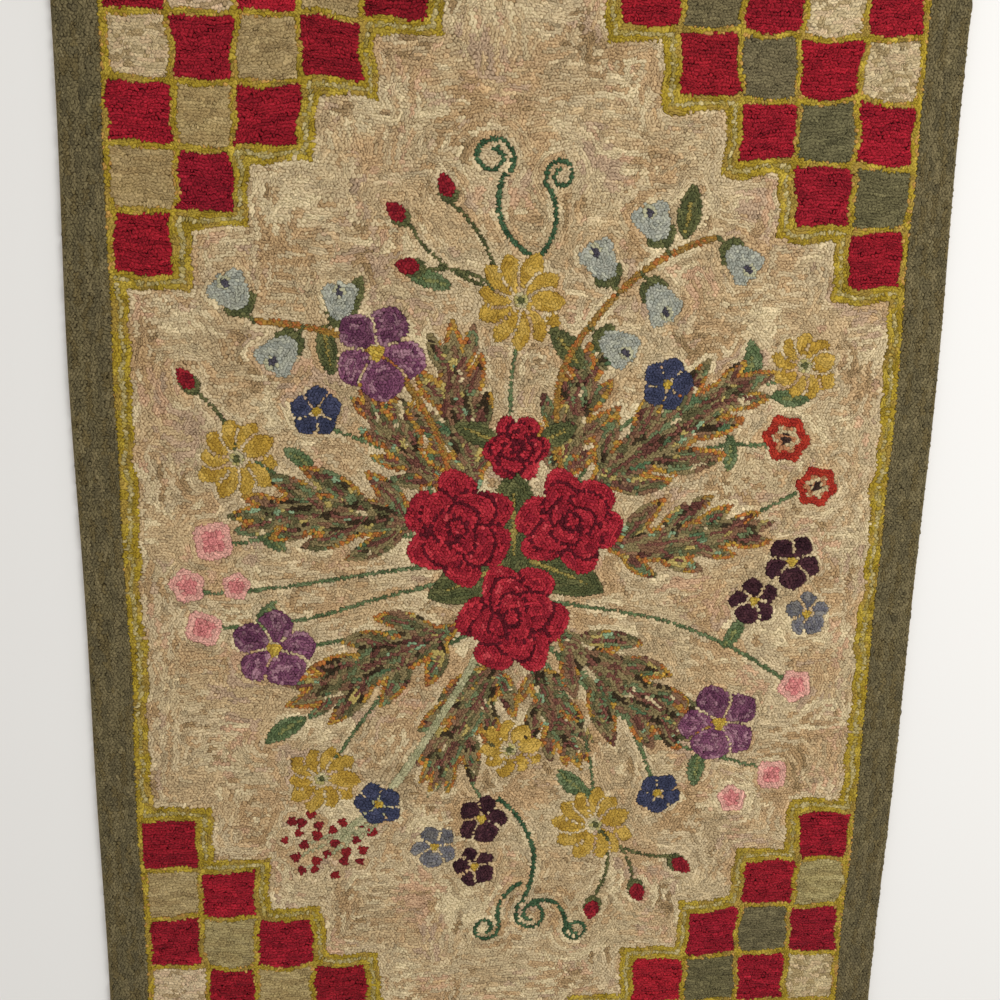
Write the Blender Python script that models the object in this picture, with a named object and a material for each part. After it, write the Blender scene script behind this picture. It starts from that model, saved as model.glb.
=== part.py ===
"""Hooked rug: one flat cloth with short rag loops over its whole face.

Metres, +Z up. The rug lies flat with its underside on Z = 0, its length along Y and its
centre over the origin. The solid reaches from the floor to the tips of the loops.
"""

import math

import bmesh
import bpy

# The pattern sets the size: blocks are counted, and one block is the driving dimension
BLOCK = 0.065
BLOCKS_ACROSS = 13
FIELD_BLOCKS = 9.5
CHECKER_ROWS = 6
BORDER = 0.050

WIDTH = BLOCKS_ACROSS * BLOCK + 2 * BORDER
LENGTH = (FIELD_BLOCKS + 2 * CHECKER_ROWS) * BLOCK + 2 * BORDER

# Height of the loops' tips above the floor, and how the outermost loops lean over the hem
PILE_TOP = 0.008
EDGE_ROLL = 0.007
EDGE_WALL = 0.0035
CORNER_RADIUS = 0.014

# Handwork is never quite straight or even
OUTLINE_WANDER = 0.0022
TOP_WANDER = 0.0004

# The average colour of the whole pattern
PILE_COLOR = (0.36, 0.23, 0.15, 1.0)

# The grid of the face: a few close lines near each edge and wider steps between them
EDGE_LINES = (0.0, 0.0012, 0.0035, 0.007, 0.014)
CELLS_ACROSS = 18
CELLS_ALONG = 28


def clear_scene():
    """Remove every object that is in the scene."""
    for old in list(bpy.data.objects):
        bpy.data.objects.remove(old, do_unlink=True)


def pile_material():
    """Matt wool and cotton rag, in the average colour of the pattern."""
    material = bpy.data.materials.new("rag_pile")
    material.use_nodes = True
    shader = material.node_tree.nodes["Principled BSDF"]
    shader.inputs["Base Color"].default_value = PILE_COLOR
    shader.inputs["Roughness"].default_value = 0.95
    shader.inputs["Metallic"].default_value = 0.0
    material.diffuse_color = PILE_COLOR
    return material


def line_places(span, cells):
    """Places of the grid lines across one span: close at both edges, even between them."""
    half = span / 2
    inner = half - EDGE_LINES[-1]
    between = [-inner + 2 * inner * i / cells for i in range(1, cells)]
    low = [-half + inset for inset in EDGE_LINES]
    high = [half - inset for inset in reversed(EDGE_LINES)]
    return low + between + high


def rounded_corner(x, y):
    """Draw the square corner patches in to quarter discs, ring by ring."""
    across = abs(x) - (WIDTH / 2 - CORNER_RADIUS)
    along = abs(y) - (LENGTH / 2 - CORNER_RADIUS)
    if across <= 0 or along <= 0:
        return x, y
    draw_in = max(across, along) / math.hypot(across, along)
    x = math.copysign(WIDTH / 2 - CORNER_RADIUS + across * draw_in, x)
    y = math.copysign(LENGTH / 2 - CORNER_RADIUS + along * draw_in, y)
    return x, y


def hand_cut(x, y):
    """Let the straight edges wander a little: slow waves, full at the rim and nil at the centre."""
    toward_side = (2 * x / WIDTH) ** 3
    toward_end = (2 * y / LENGTH) ** 3
    side_wave = math.sin(5.1 * y + 0.6 * x + 0.8) + 0.5 * math.sin(12.7 * y - 1.1)
    end_wave = math.sin(7.3 * x + 0.5 * y + 2.1) + 0.5 * math.sin(15.9 * x + 0.4)
    return x + OUTLINE_WANDER * toward_side * side_wave, y + OUTLINE_WANDER * toward_end * end_wave


def rim_distance(x, y):
    """Distance in from the rug's rim, measured on the plain rounded rectangle."""
    across = WIDTH / 2 - abs(x)
    along = LENGTH / 2 - abs(y)
    if across < CORNER_RADIUS and along < CORNER_RADIUS:
        return CORNER_RADIUS - math.hypot(CORNER_RADIUS - across, CORNER_RADIUS - along)
    return min(across, along)


def pile_height(x, y):
    """Height of the loops' tips: a quarter round at the rim, then nearly level."""
    inset = max(rim_distance(x, y), 0.0)
    if inset < EDGE_ROLL:
        along_roll = 1 - inset / EDGE_ROLL
        roll = math.sqrt(1 - along_roll * along_roll)
    else:
        roll = 1.0
    swell = math.sin(9.0 * x + 1.3) * math.sin(7.0 * y - 0.4) + 0.6 * math.sin(17.0 * x - 11.0 * y)
    return EDGE_WALL + (PILE_TOP - EDGE_WALL) * roll + TOP_WANDER * roll * swell


def middle(shape, axis):
    """Halfway between the lowest and the highest point along one axis."""
    places = [point.co[axis] for point in shape.verts]
    return (min(places) + max(places)) / 2


def rug_mesh():
    """The face is a grid, extruded down to a flat underside and then given its roll and swell."""
    columns = line_places(WIDTH, CELLS_ACROSS)
    rows = line_places(LENGTH, CELLS_ALONG)
    shape = bmesh.new()
    bmesh.ops.create_grid(shape, x_segments=len(columns) - 1, y_segments=len(rows) - 1, size=1.0)
    for point in shape.verts:
        column = round((point.co.x + 1) / 2 * (len(columns) - 1))
        row = round((point.co.y + 1) / 2 * (len(rows) - 1))
        point.co.x, point.co.y = rounded_corner(columns[column], rows[row])
    face_points = list(shape.verts)
    under = bmesh.ops.extrude_face_region(shape, geom=list(shape.faces), use_keep_orig=True)
    for point in face_points:
        point.co.z = pile_height(point.co.x, point.co.y)
    for item in under["geom"]:
        if isinstance(item, bmesh.types.BMVert):
            item.co.z = 0.0
    for point in shape.verts:
        point.co.x, point.co.y = hand_cut(point.co.x, point.co.y)
    bmesh.ops.translate(shape, verts=list(shape.verts), vec=(-middle(shape, 0), -middle(shape, 1), 0.0))
    bmesh.ops.recalc_face_normals(shape, faces=list(shape.faces))
    mesh = bpy.data.meshes.new("rug")
    shape.to_mesh(mesh)
    shape.free()
    return mesh


def make_rug():
    """Build the rug in its own collection."""
    collection = bpy.data.collections.new("hooked_rug")
    bpy.context.scene.collection.children.link(collection)
    rug = bpy.data.objects.new("rug", rug_mesh())
    rug.data.materials.append(pile_material())
    collection.objects.link(rug)
    rug.data.shade_smooth()
    rug.data.set_sharp_from_angle(angle=math.radians(50))


clear_scene()
make_rug()
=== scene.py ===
"""Hooked rug, dressed: the cloth with its hem, every fold of rag in the pile, and the floor and light."""

import math

import bpy
import numpy as np
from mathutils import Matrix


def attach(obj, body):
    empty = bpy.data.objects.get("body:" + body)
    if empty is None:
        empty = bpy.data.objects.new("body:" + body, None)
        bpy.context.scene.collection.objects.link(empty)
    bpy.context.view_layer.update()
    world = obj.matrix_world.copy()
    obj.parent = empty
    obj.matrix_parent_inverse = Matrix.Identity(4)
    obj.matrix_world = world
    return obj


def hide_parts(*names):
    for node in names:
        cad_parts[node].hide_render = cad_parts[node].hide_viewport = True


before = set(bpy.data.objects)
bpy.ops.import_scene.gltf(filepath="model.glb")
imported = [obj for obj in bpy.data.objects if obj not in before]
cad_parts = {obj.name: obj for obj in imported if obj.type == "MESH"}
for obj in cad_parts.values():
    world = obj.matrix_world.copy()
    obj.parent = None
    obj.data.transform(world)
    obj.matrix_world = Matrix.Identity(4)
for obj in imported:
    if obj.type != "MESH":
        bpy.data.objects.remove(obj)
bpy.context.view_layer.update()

rng = np.random.default_rng(63)

# The foundation: one piece of plain jute cloth with the pattern drawn on it by hand, a field of 13 by 9.5
# blocks with six steps of checker blocks at each end and a border round it. Its edges are turned under as
# a flat hem. Drawn lines wander, and so does the folded rim.
BLOCK = 0.065
BORDER = 0.050
CHECK_ROWS = 6
INNER_W = 13 * BLOCK / 2
FIELD_L = 9.5 * BLOCK / 2
INNER_L = FIELD_L + CHECK_ROWS * BLOCK
HALF_W = INNER_W + BORDER
HALF_L = INNER_L + BORDER
CORNER_RADIUS = 0.014
RIM_WANDER = 0.0022
LINE_WANDER = 0.0016
HEM = 0.034
CLOTH_CELLS_X = 145
CLOTH_CELLS_Y = 230
HEM_STATIONS = (
    # inset from the rim, height: the raw edge underneath, round the fold and back onto the panel
    (HEM, 0.0005),
    (0.017, 0.0005),
    (0.003, 0.0005),
    (0.0006, 0.0008),
    (0.0, 0.0014),
    (0.0006, 0.0020),
    (0.003, 0.0023),
)


def drift(x, y, size, seed, row=0, waves=7):
    """Smooth unevenness about 0: the mean of plane sine waves about `size` long, each in its own direction.
    Where rows are given, each row starts the waves elsewhere, so it differs from the rows beside it."""
    own = np.random.default_rng(seed)
    turn = own.uniform(0, 2 * np.pi, waves)
    rate = 2 * np.pi / (size * own.uniform(0.7, 1.5, waves))
    start = own.uniform(0, 2 * np.pi, waves)
    skip = own.uniform(1, 5, waves)
    total = np.zeros_like(x)
    for k in range(waves):
        total += np.sin(rate[k] * (x * np.cos(turn[k]) + y * np.sin(turn[k])) + start[k] + skip[k] * row)
    return total * math.sqrt(2 / waves)


def round_corners(x, y):
    """The square corner patches drawn in to quarter discs: each point is scaled from the corner's
    centre by the larger of its two offsets over their length."""
    across = np.abs(x) - (HALF_W - CORNER_RADIUS)
    along = np.abs(y) - (HALF_L - CORNER_RADIUS)
    corner = (across > 0) & (along > 0)
    scale = np.where(corner, np.maximum(across, along) / np.maximum(np.hypot(across, along), 1e-9), 1.0)
    new_x = np.where(corner, np.copysign(HALF_W - CORNER_RADIUS + across * scale, x), x)
    new_y = np.where(corner, np.copysign(HALF_L - CORNER_RADIUS + along * scale, y), y)
    return new_x, new_y


def wander(x, y):
    """Where a drawn place really lies: slow waves, one set that grows with the cube of the distance
    from the middle and moves the rim, one that moves the inner lines and dies out at the rim."""
    side = (x / HALF_W) ** 3
    end = (y / HALF_L) ** 3
    side_wave = np.sin(5.1 * y + 0.6 * x + 0.8) + 0.5 * np.sin(12.7 * y - 1.1)
    end_wave = np.sin(7.3 * x + 0.5 * y + 2.1) + 0.5 * np.sin(15.9 * x + 0.4)
    inside = (1 - (x / HALF_W) ** 6) * (1 - (y / HALF_L) ** 6)
    new_x = x + RIM_WANDER * side * side_wave + LINE_WANDER * inside * drift(x, y, 0.16, 3)
    new_y = y + RIM_WANDER * end * end_wave + LINE_WANDER * inside * drift(x, y, 0.16, 4)
    return new_x, new_y


def rim_points(steps=400):
    """The rug's rim as drawn: the four sides of the rectangle with their corners rounded."""
    run = np.linspace(-1, 1, steps)
    one = np.ones(steps)
    x = np.concatenate([run, one, -run, -one]) * HALF_W
    y = np.concatenate([-one, run, one, -run]) * HALF_L
    return wander(*round_corners(x, y))


rim_x, rim_y = rim_points()
RIM_SHIFT_X = (rim_x.min() + rim_x.max()) / 2
RIM_SHIFT_Y = (rim_y.min() + rim_y.max()) / 2


def lay_flat(x, y):
    """A drawn place as it lies in the finished rug, whose box is centred over the origin."""
    new_x, new_y = wander(x, y)
    return new_x - RIM_SHIFT_X, new_y - RIM_SHIFT_Y


def rim_inset(x, y):
    """Distance in from the rim, measured on the plain rounded rectangle."""
    across = HALF_W - np.abs(x)
    along = HALF_L - np.abs(y)
    corner = (across < CORNER_RADIUS) & (along < CORNER_RADIUS)
    round_one = CORNER_RADIUS - np.hypot(CORNER_RADIUS - across, CORNER_RADIUS - along)
    return np.where(corner, round_one, np.minimum(across, along))


def new_piece(name, points, faces, material):
    """A smooth mesh from arrays of points and of faces with an equal number of corners, as a new piece."""
    mesh = bpy.data.meshes.new(name)
    mesh.vertices.add(len(points))
    mesh.vertices.foreach_set("co", points.astype(np.float32).ravel())
    mesh.loops.add(faces.size)
    mesh.loops.foreach_set("vertex_index", faces.astype(np.int32).ravel())
    mesh.polygons.add(len(faces))
    mesh.polygons.foreach_set("loop_start", np.arange(0, faces.size, faces.shape[1], dtype=np.int32))
    mesh.update(calc_edges=True)
    mesh.polygons.foreach_set("use_smooth", np.ones(len(faces), bool))
    mesh.materials.append(material)
    piece = bpy.data.objects.new(name, mesh)
    bpy.context.scene.collection.objects.link(piece)
    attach(piece, "root")
    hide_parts("rug")
    return piece


def flat_uv(mesh, points, faces):
    """The bake map: the piece seen from above, fitted into the unit square."""
    low, high = points[:, :2].min(0), points[:, :2].max(0)
    uv = (points[faces.ravel(), :2] - low) / (high - low) * 0.98 + 0.01
    mesh.uv_layers.new(name="OFBake").data.foreach_set("uv", uv.astype(np.float32).ravel())


def cloth_net():
    """Points and faces of the cloth: square rings carry the hem's profile round the rim, and the last
    ring is the edge of the panel, a grid that sinks to the floor where the hem ends beneath it. With
    them, where each point is in the drawn pattern and where it is with the hem unfolded."""
    run_x = np.linspace(-1, 1, CLOTH_CELLS_X + 1)
    run_y = np.linspace(-1, 1, CLOTH_CELLS_Y + 1)
    ring_u = np.concatenate([run_x[:-1], np.ones(CLOTH_CELLS_Y), run_x[:0:-1], -np.ones(CLOTH_CELLS_Y)])
    ring_v = np.concatenate([-np.ones(CLOTH_CELLS_X), run_y[:-1], np.ones(CLOTH_CELLS_X), run_y[:0:-1]])
    inset, height = np.array(HEM_STATIONS)[:-1].T[:, :, None]
    ring_x, ring_y = round_corners(ring_u * (HALF_W - inset), ring_v * (HALF_L - inset))
    ring_z = np.broadcast_to(height, ring_x.shape)
    last_inset, last_height = HEM_STATIONS[-1]
    panel_x, panel_y = np.meshgrid(run_x * (HALF_W - last_inset), run_y * (HALF_L - last_inset))
    sink = np.clip((rim_inset(panel_x, panel_y) - HEM) / 0.02, 0, 1)
    panel_z = last_height - 0.0013 * sink * sink * (3 - 2 * sink)
    panel_x, panel_y = round_corners(panel_x, panel_y)
    x = np.concatenate([ring_x.ravel(), panel_x.ravel()])
    y = np.concatenate([ring_y.ravel(), panel_y.ravel()])
    z = np.concatenate([ring_z.ravel(), panel_z.ravel()])
    points = np.stack([*lay_flat(x, y), z], 1)

    steps = np.hypot(*np.diff(np.array(HEM_STATIONS), axis=0).T)
    spread = np.cumsum(steps[::-1])[::-1, None] - last_inset
    flat_x = np.concatenate([(ring_u * (HALF_W + spread)).ravel(), panel_x.ravel()])
    flat_y = np.concatenate([(ring_v * (HALF_L + spread)).ravel(), panel_y.ravel()])
    drawn = np.stack([x, y, flat_x, flat_y], 1)

    around = len(ring_u)
    panel = np.arange(panel_x.size).reshape(panel_x.shape) + ring_x.size
    edge = np.concatenate([panel[0, :-1], panel[:-1, -1], panel[-1, :0:-1], panel[:0:-1, 0]])
    rings = np.concatenate([np.arange(ring_x.size).reshape(-1, around), edge[None]])
    after = np.roll(rings, -1, 1)
    hem = np.stack([rings[:-1], rings[1:], after[1:], after[:-1]], -1).reshape(-1, 4)[:, ::-1]
    top = np.stack([panel[:-1, :-1], panel[:-1, 1:], panel[1:, 1:], panel[1:, :-1]], -1).reshape(-1, 4)
    return points, np.concatenate([hem, top]), drawn


def add_node(tree, kind, sockets=(), **settings):
    """A shader node: its settings, then each socket given a value or linked from another's output."""
    node = tree.nodes.new("ShaderNode" + kind)
    for name, value in settings.items():
        setattr(node, name, value)
    for name, value in dict(sockets).items():
        if isinstance(value, bpy.types.NodeSocket):
            tree.links.new(value, node.inputs[name])
        else:
            node.inputs[name].default_value = value
    return node


def reckon(tree, operation, *values, kind="Math"):
    """The result of a maths node for the values, each a constant or another node's output."""
    return add_node(tree, kind, dict(enumerate(values)), operation=operation).outputs[0]


def matt(name, specular, roughness=0.95):
    """A new matt material, with its node tree and its shader."""
    material = bpy.data.materials.new(name)
    material.use_nodes = True
    shader = material.node_tree.nodes["Principled BSDF"]
    shader.inputs["Roughness"].default_value = roughness
    shader.inputs["Specular IOR Level"].default_value = specular
    return material, material.node_tree, shader


def jute(name):
    """Jute cloth: two sets of threads 1.6 mm apart cross over and under each other, with painted shade in
    the gaps between them and slubs of uneven tone. On the back, flat stitches of the pile's rag cover the
    cloth between the hems."""
    material, tree, shader = matt(name, 0.1)
    place = add_node(tree, "TexCoord").outputs["Object"]
    threads = []
    for axis in ("X", "Y"):
        sizes = {"Vector": place, "Scale": 0.314 / 0.0016, "Distortion": 0.6, "Detail": 1, "Detail Scale": 30}
        threads.append(add_node(tree, "TexWave", sizes, bands_direction=axis).outputs["Fac"])
    weave = reckon(tree, "MAXIMUM", *threads)
    slub = add_node(tree, "TexNoise", {"Vector": place, "Scale": 240, "Detail": 3}).outputs["Fac"]
    # Painted shade: the colour is darker in the gaps where no thread lies on top, and the slub varies its
    # tone.
    slub_and_weave_shade = reckon(tree, "MULTIPLY_ADD", slub, 0.5, reckon(tree, "MULTIPLY_ADD", weave, 0.35, 0.5))
    stitch = add_node(tree, "Attribute", attribute_name="stitch").outputs["Color"]
    colour = add_node(tree, "VectorMath", {0: stitch, "Scale": slub_and_weave_shade}, operation="SCALE").outputs[0]
    tree.links.new(colour, shader.inputs["Base Color"])
    relief = add_node(tree, "Bump", {"Strength": 0.6, "Distance": 0.0004, "Height": weave}).outputs[0]
    tree.links.new(relief, shader.inputs["Normal"])
    return material


cloth_points, cloth_faces, cloth_drawn = cloth_net()
cloth = new_piece("foundation_cloth", cloth_points, cloth_faces, jute("jute"))

# The border, and with it the pile: a rag strip held under the cloth is pulled up through it in loops,
# row beside row, until they stand as close as a brush. What shows of a loop is a crumpled fold of rag
# about 4 mm across. The border's rows of grey-green rag run round the rug, side by side with the rim.
FOLD = 0.0036
LANE = FOLD * 0.866
ROW = 0.0062
PILE_FOOT = 0.0021
HOLLOW = 0.0010
PARTED = 0.0014
JOINED_SHARE = 0.66
BULGE = 0.0006
BARE_RIM = 0.0012
RIM_INSET = 0.0004
SWAY = 0.0013
EDGE_WALL = 0.0035
EDGE_ROLL = 0.007
ROLL_RISE = 0.0045
SWELL = 0.0004
LOOP_UNEVEN = 0.00018
FOLD_UNEVEN = 0.00008
FULL_DIP = 0.0016
SAME_DYE = 0.03
EDGE_PULL = 0.45 * FOLD
EDGE_CLEAR = 0.3 * FOLD
MARGIN = 0.03
BESIDE_GOLD = 0.0035
SIDE_WAYS = np.radians([60, 120, 180, 240, 300, 0])
SIDE_KINDS = np.array([0, 1, 2, 0, 1, 2])
TURN_STEP = np.pi / 8
CRUMPLE = (0.0052, 0.0031)
BORDER_GREENS = ((108, 98, 69), (100, 91, 65), (115, 104, 74), (104, 92, 61))

lanes = int(2 * HALF_L / LANE) + 5
files = int(2 * HALF_W / FOLD) + 5


def dyed(*colours):
    """Rag colours, given as they look in daylight from 0 to 255, as linear light."""
    share = np.array(colours) / 255
    return np.where(share <= 0.04045, share / 12.92, ((share + 0.055) / 1.055) ** 2.4)


def crown_places():
    """Crowns of the folds: lanes of places, every second lane half a step on, all a little scattered.
    The lanes sway, except close to the rim."""
    lane, place = np.meshgrid(np.arange(lanes), np.arange(files), indexing="ij")
    x = (place + 0.5 * (lane % 2) - (files - 0.5) / 2) * FOLD
    y = (lane - (lanes - 1) / 2) * LANE
    scatter = np.clip(rng.normal(0, 0.20, (2, lanes, files)), -0.38, 0.38) * FOLD
    sway = SWAY * np.clip(rim_inset(x, y) / 0.03, 0, 1)
    new_x = x + scatter[0] + sway * drift(x, y, 0.028, 8)
    new_y = y + scatter[1] + sway * drift(x, y, 0.028, 10)
    return new_x.ravel(), new_y.ravel()


def hollow_trios():
    """Between each lane and the next lie two kinds of hollow, each among three crowns: one over the gap
    between two crowns of the lane, one over a crown. Row k holds hollow k's three crowns."""
    lane, place = np.meshgrid(np.arange(lanes - 1), np.arange(files), indexing="ij")
    odd = lane % 2
    ends = np.array([
        [(lane, place), (lane, place + 1), (lane + 1, place + odd)],
        [(lane, place), (lane + 1, place + odd - 1), (lane + 1, place + odd)],
    ])
    crowns = ends[:, :, 0] * files + np.clip(ends[:, :, 1], 0, files - 1)
    return crowns.transpose(0, 2, 3, 1).reshape(-1, 3)


def six_hollows(crown):
    """The hollows round each crown, anticlockwise: right above, above, left above, and the same below."""
    lane, place = crown // files, crown % files
    back = (lane - 1) % 2
    over_gap = lane * files + place
    over_crown = over_gap + (lanes - 1) * files
    low_gap = over_gap - files - back
    low_crown = over_crown - files - back
    return np.stack([over_gap, over_crown, over_gap - 1, low_crown, low_gap, low_crown + 1], 1)


def six_neighbours(crown):
    """The crowns round each crown, each across the side between two of its hollows, in SIDE_WAYS' order."""
    right = crown + crown // files % 2
    above, below = right + files, right - files
    return np.stack([above, above - 1, crown - 1, below - 1, below, crown + 1], 1)


def within_rim(x, y, inset, outermost):
    """Places drawn in to a rounded rectangle at an inset from the rim. The outermost are first moved
    out to the nearer side, so that they line up along it."""
    side = HALF_W - np.abs(x) < HALF_L - np.abs(y)
    x = np.clip(np.where(outermost & side, np.copysign(HALF_W, x), x), inset - HALF_W, HALF_W - inset)
    y = np.clip(np.where(outermost & ~side, np.copysign(HALF_L, y), y), inset - HALF_L, HALF_L - inset)
    across = np.abs(x) - (HALF_W - CORNER_RADIUS)
    along = np.abs(y) - (HALF_L - CORNER_RADIUS)
    far = np.hypot(across, along)
    radius = CORNER_RADIUS - inset
    scale = np.where((across > 0) & (along > 0) & (far > radius), radius / far, 1)
    x = np.where(scale < 1, np.copysign(HALF_W - CORNER_RADIUS + across * scale, x), x)
    y = np.where(scale < 1, np.copysign(HALF_L - CORNER_RADIUS + along * scale, y), y)
    return x, y


def pile_top(x, y):
    """Height of the pile over a drawn place: a quarter round at the rim, then a gentle swell."""
    roll = np.sqrt(1 - np.clip(1 - rim_inset(x, y) / EDGE_ROLL, 0, 1) ** 2)
    swell = np.sin(9.0 * x + 1.3) * np.sin(7.0 * y - 0.4) + 0.6 * np.sin(17.0 * x - 11.0 * y)
    return EDGE_WALL + ROLL_RISE * roll + SWELL * roll * swell


def rags(x, y, row, colours, usual=0.0, run=0.05, seed=1, mixed=0.0):
    """The rag at each place: every rag scores by a slow wave about `run` long, begun anew in each row,
    and by how usual it is, and the highest is used. A mixed rag lies between it and their mean."""
    score = np.stack([drift(x, y, run, seed + k, row) for k in range(len(colours))], -1) + usual
    best = dyed(*colours)[score.argmax(-1)]
    weight = np.exp(3 * (score - score.max(-1, keepdims=True)))
    mean = weight @ dyed(*colours) / weight.sum(-1, keepdims=True)
    return best + mixed * (mean - best)


def around(x, y, reach):
    """The crowns within reach of a drawn place, or a margin past it, and where they are."""
    reach += MARGIN
    near = np.flatnonzero((np.abs(crown_x - x) < reach) & (np.abs(crown_y - y) < reach))
    return near, crown_x[near], crown_y[near]


def follow_edge(edge):
    """Bring hollows among hooked and bare crowns onto the drawn edge, which each does once. Through the
    distances from the edge at a hollow's three crowns goes a plane, and the hollow moves down its slope
    to where it is nil, or a little short of that between two folds on its own side, so that each fold
    bulges over the line. A crown too near the edge for its fold is pushed off it."""
    crowns = trio[edge]
    apart = crown_x[crowns], crown_y[crowns], edge_inset[crowns]
    (to_x, far_x), (to_y, far_y), (rise, far_rise) = [(v[:, 1] - v[:, 0], v[:, 2] - v[:, 0]) for v in apart]
    area = to_x * far_y - far_x * to_y
    slope_x = (rise * far_y - far_rise * to_y) / area
    slope_y = (to_x * far_rise - far_x * rise) / area
    steep = np.maximum(np.hypot(slope_x, slope_y), 0.5)
    bulge = BULGE * np.where((apart[2] > 0).sum(1) > 1, -1, 1)
    off = (apart[2].mean(1) + hollow_tooth[edge] + bulge) / steep
    off = np.clip(off, -EDGE_PULL, EDGE_PULL)
    hollow_x[edge] -= off * slope_x / steep
    hollow_y[edge] -= off * slope_y / steep
    pinned[edge] = True
    loose = (np.abs(apart[2]) < EDGE_CLEAR) & (bare[crowns] | (piece_of[crowns] == piece_number))
    push = np.where(loose, np.copysign(EDGE_CLEAR, apart[2]) - apart[2], 0)
    new_x = apart[0] + push * (slope_x / steep)[:, None]
    new_y = apart[1] + push * (slope_y / steep)[:, None]
    crown_x[crowns[loose]] = new_x[loose]
    crown_y[crowns[loose]] = new_y[loose]


def hook(near, inset, rag, row=0, level=None):
    """Hook a drawn shape, given how far inside it each place near it is: its bare places get the rag.
    Rows lie along the lines of equal level. Other places keep how far they are from all that is hooked."""
    gap[near] = np.minimum(gap[near], -inset)
    edge_inset[near] = inset
    here = (inset > 0) & bare[near]
    taken = near[here]
    dye[taken] = np.broadcast_to(rag, (len(near), 3))[here]
    row_of[taken] = np.broadcast_to(row, len(near))[here] + 1000 * piece_number
    level_of[taken] = (inset if level is None else level)[here]
    piece_of[taken] = piece_number
    bare[taken] = False
    hollows = np.unique(six_hollows(taken))
    follow_edge(hollows[bare[trio[hollows]].any(1) & ~pinned[hollows]])


def rag_material(name, valley_shade=0.54, mottle=0.23, parted_shade=0.40, lightest=(0.62, 0.95)):
    """Matt rag: the fold's own dye, with painted shade: dark along the valleys between folds and darkest
    where rows part, darkened along the creases of crumples that lie along the row, and flecked by fine
    wool fibre. All of it, painted shade and fleck, shows more in dark rag, and in a rag's darker
    primaries, of which less light is thrown from fold to fold: the whole shade is raised to a power,
    1.55 in the darkest rag and the second of `lightest` in rag as light as the first."""
    material, tree, shader = matt(name, 0.05)
    shader.inputs["Sheen Weight"].default_value = 0.03
    shader.inputs["Sheen Roughness"].default_value = 0.6
    place = add_node(tree, "TexCoord").outputs["Object"]
    dye_colour = add_node(tree, "Attribute", attribute_name="dye").outputs["Color"]
    depth = add_node(tree, "Attribute", attribute_name="depth").outputs["Fac"]
    crest = add_node(tree, "Attribute", attribute_name="crest").outputs["Fac"]
    along_row = add_node(tree, "Attribute", attribute_name="along_row").outputs["Vector"]
    fibre = add_node(tree, "TexNoise", {"Vector": place, "Scale": 700, "Detail": 1.5}).outputs["Fac"]
    stir = add_node(tree, "TexNoise", {"Vector": place, "Scale": 400, "Detail": 1})
    stirred = (stir.outputs["Color"], (0.0016, 0.0016, 0), along_row)
    lie = reckon(tree, "MULTIPLY_ADD", *stirred, kind="VectorMath")
    lie = reckon(tree, "MULTIPLY", lie, (1 / CRUMPLE[0], 1 / CRUMPLE[1], 1), kind="VectorMath")
    cells = {"Vector": lie, "Scale": 1}
    flat = {"voronoi_dimensions": "2D"}
    crease_shade = add_node(tree, "TexVoronoi", cells, feature="DISTANCE_TO_EDGE", **flat).outputs["Distance"]
    uneven_crest = reckon(tree, "MULTIPLY_ADD", stir.outputs["Fac"], 1.1, crest)
    # Painted shade: the colour is darkened down the valleys between folds, along the crumple creases and most
    # in the hollows where rows part; the fibre row is the wool's own fleck.
    ranges = (
        # source, from, to
        (uneven_crest, (0.48, 0.90), (1 - valley_shade, 1.0)),
        (crease_shade, (0.0, 0.16), (0.70, 1.0)),
        (fibre, (0.3, 0.7), (1 - mottle, 1 + mottle)),
        (depth, (-0.5, 0.1), (parted_shade, 1.0)),
    )
    shade = None
    for source, (low, high), (dark, light) in ranges:
        limits = {"Value": source, "From Min": low, "From Max": high, "To Min": dark, "To Max": light}
        factor = add_node(tree, "MapRange", limits).outputs["Result"]
        shade = factor if shade is None else reckon(tree, "MULTIPLY", shade, factor)
    # The painted shade and fleck go deeper in dark rag and in its darker primaries: the shade is raised to a
    # power set by the dye's lightness.
    light = add_node(tree, "RGBToBW", {"Color": dye_colour}).outputs["Val"]
    light = reckon(tree, "ADD", dye_colour, light, kind="VectorMath")
    power_range = enumerate((0.04, lightest[0], 1.55, lightest[1]), start=7)
    limits = {"Vector": light} | {socket: (value,) * 3 for socket, value in power_range}
    power = add_node(tree, "MapRange", limits, data_type="FLOAT_VECTOR").outputs["Vector"]
    shade = reckon(tree, "POWER", shade, power, kind="VectorMath")
    colour = reckon(tree, "MULTIPLY", dye_colour, shade, kind="VectorMath")
    tree.links.new(colour, shader.inputs["Base Color"])
    limits = {"Value": crest, "From Max": 0.6, "To Max": 1.5}
    round_top = add_node(tree, "MapRange", limits, interpolation_type="SMOOTHSTEP").outputs["Result"]
    rise = reckon(tree, "ADD", round_top, fibre)
    relief = add_node(tree, "Bump", {"Strength": 0.7, "Distance": 0.0005, "Height": rise}).outputs[0]
    tree.links.new(relief, shader.inputs["Normal"])
    return material


def keep(piece, name, kind, domain, values):
    """Keep values with a piece's points, corners or faces, where its material reads them."""
    field = {"FLOAT_COLOR": "color", "FLOAT_VECTOR": "vector", "FLOAT": "value"}[kind]
    held = piece.data.attributes.new(name, kind, domain)
    held.data.foreach_set(field, values.astype(np.float32).ravel())


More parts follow.
